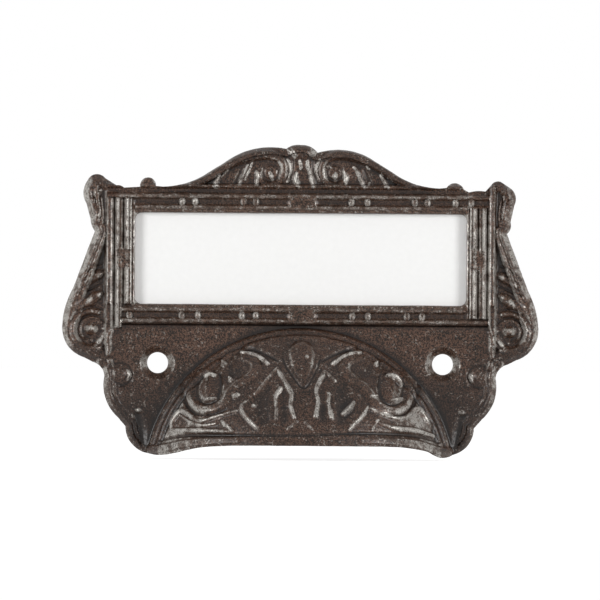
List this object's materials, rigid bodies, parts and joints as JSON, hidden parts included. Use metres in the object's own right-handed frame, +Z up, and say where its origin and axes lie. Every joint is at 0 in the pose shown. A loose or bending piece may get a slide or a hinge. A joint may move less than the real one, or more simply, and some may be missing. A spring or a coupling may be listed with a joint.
{
  "type": "label frame pull",
  "caption": "Cast-iron drawer pull with a reeded label frame, scrolled crest and sides, and a domed finger hood.",
  "frame": {"origin": "midpoint between the two screw holes, on the flat back that lies on the drawer", "axes": "+X to the right as seen from the front, +Z up, +Y into the drawer; the front faces -Y"},
  "size_m": [0.1002, 0.0215, 0.0654],
  "materials": {
    "iron": "dark brown waxed casting, burnished on the raised edges",
    "card": "plain white card"
  },
  "bodies": {
    "root": {"casting": "iron", "label_card": "card"}
  },
  "joints": []
}
